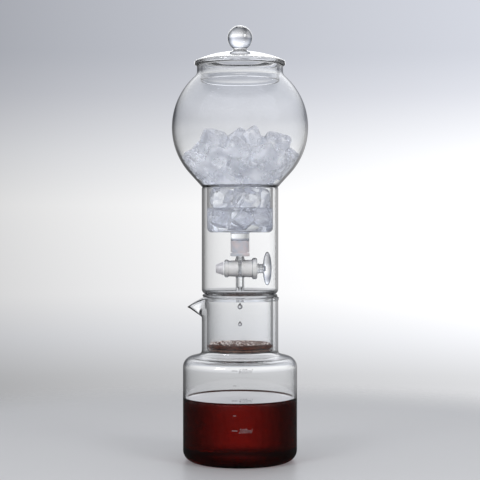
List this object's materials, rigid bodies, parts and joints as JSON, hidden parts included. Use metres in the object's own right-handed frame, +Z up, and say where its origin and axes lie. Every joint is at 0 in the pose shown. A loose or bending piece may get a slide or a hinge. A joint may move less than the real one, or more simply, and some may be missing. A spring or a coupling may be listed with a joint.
{
  "type": "cold drip coffee tower",
  "caption": "Stacked glass cold drip coffee tower: spouted carafe, filter cup, tube, ice globe with a hand-turned drip valve, and a domed lid with a ball knob.",
  "frame": {"origin": "centre of the carafe's foot on the table, on the tower's axis", "axes": "+Z up along the tower's axis, +X towards the valve's handle, -X towards the carafe's spout, -Y towards the volume marks"},
  "size_m": [0.1244, 0.1244, 0.3976],
  "materials": {
    "clear_glass": "polished",
    "ground_glass": "satin",
    "grey_silicone": "satin",
    "clear_silicone": "satin",
    "white_washer": "matte",
    "black_rubber": "satin",
    "grey_nylon": "satin",
    "steel": "satin",
    "filter_paper": "matte",
    "coffee_grounds": "matte",
    "brewed_coffee": "polished",
    "ice": "gloss",
    "melt_water": "polished"
  },
  "bodies": {
    "carafe": {"carafe": "clear_glass", "brewed_coffee": "brewed_coffee"},
    "filter_cup": {"filter_cup": "clear_glass", "filter_gasket": "clear_silicone", "filter_plate": "steel", "paper_filter": "filter_paper", "coffee_grounds": "coffee_grounds"},
    "tower_tube": {"tower_tube": "clear_glass"},
    "ice_globe": {"ice_globe": "clear_glass", "globe_reservoir": "clear_glass", "valve_socket": "clear_glass", "valve_sleeve": "grey_silicone", "valve_barrel": "clear_glass", "ice_cubes": "ice", "reservoir_ice": "ice", "melt_water": "melt_water"},
    "valve_key": {"valve_plug": "ground_glass", "valve_handle": "clear_glass", "plug_washer": "white_washer", "plug_o_ring": "black_rubber", "retaining_nut": "grey_nylon"},
    "lid": {"lid_shell": "clear_glass", "lid_knob": "clear_glass"}
  },
  "joints": [
    {"name": "cup_lift", "type": "slide", "parent": "carafe", "child": "filter_cup", "axis": [0, 0, 1], "range_m": [0, 0.055]},
    {"name": "tube_lift", "type": "slide", "parent": "filter_cup", "child": "tower_tube", "axis": [0, 0, 1], "range_m": [0, 0.008]},
    {"name": "globe_lift", "type": "slide", "parent": "tower_tube", "child": "ice_globe", "axis": [0, 0, 1], "range_m": [0, 0.1]},
    {"name": "valve_turn", "type": "hinge", "parent": "ice_globe", "child": "valve_key", "pos_m": [0, 0, 0.1756], "axis": [1, 0, 0], "continuous": true},
    {"name": "lid_lift", "type": "slide", "parent": "ice_globe", "child": "lid", "axis": [0, 0, 1], "range_m": [0, 0.02]}
  ]
}
